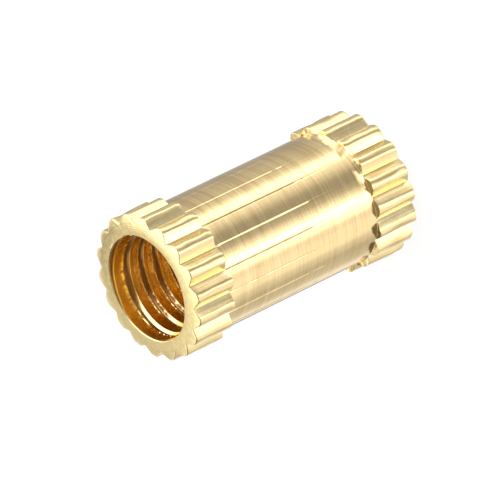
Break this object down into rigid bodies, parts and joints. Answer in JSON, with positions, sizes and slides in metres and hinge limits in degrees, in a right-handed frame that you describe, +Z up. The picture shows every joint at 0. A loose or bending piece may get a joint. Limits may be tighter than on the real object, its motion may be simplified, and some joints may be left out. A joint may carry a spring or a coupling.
{
  "type": "threaded insert",
  "caption": "Brass insert with a knurled collar at each end, a plain barrel between them and a tapped hole right through, for moulding into plastic.",
  "frame": {"origin": "centre of the lower end, on the axis of the hole", "axes": "+Z up along the hole, from the collar that is a little longer to the other; +X runs out through a groove of the knurl and +Y through the middle of a tooth"},
  "size_m": [0.0042, 0.0042, 0.008],
  "materials": {
    "brass": "turned, bright, with fine tool marks"
  },
  "bodies": {
    "root": {"threaded_insert": "brass"}
  },
  "joints": []
}
